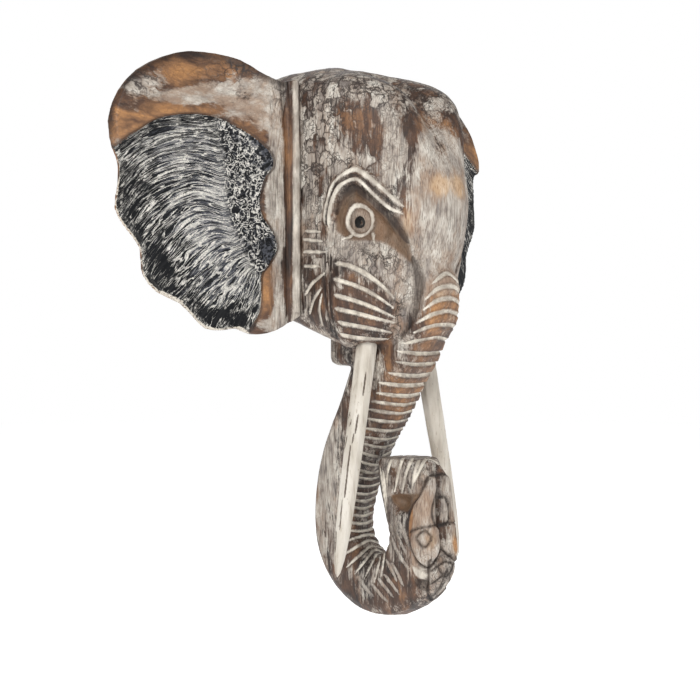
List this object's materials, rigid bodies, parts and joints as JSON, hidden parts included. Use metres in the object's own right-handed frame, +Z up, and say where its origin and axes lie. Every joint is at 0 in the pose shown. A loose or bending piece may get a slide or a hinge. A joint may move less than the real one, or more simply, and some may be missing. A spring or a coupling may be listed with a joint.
{
  "type": "carved wooden elephant mask",
  "caption": "Carved wooden elephant head that hangs flat on a wall, with a trunk curled up at the tip, broad wavy ears and long tusks.",
  "frame": {"origin": "hanging point on the flat back of the crown, on the midline", "axes": "+Z up, the wall is the plane y = 0, the face looks along -Y and the elephant's left ear is at +X"},
  "size_m": [0.477, 0.1902, 0.5145],
  "materials": {
    "head": "brown wood under a worn, crackled whitewash, with cream rubbed into the knife cuts",
    "ear": "orange-brown wood with white scuffs and a sunk black field of dry-brushed ridges",
    "tusk": "cream paint on faceted wood with fine dark splits along the grain"
  },
  "bodies": {
    "root": {"head": "head", "right_ear": "ear", "left_ear": "ear", "right_tusk": "tusk", "left_tusk": "tusk"}
  },
  "joints": []
}
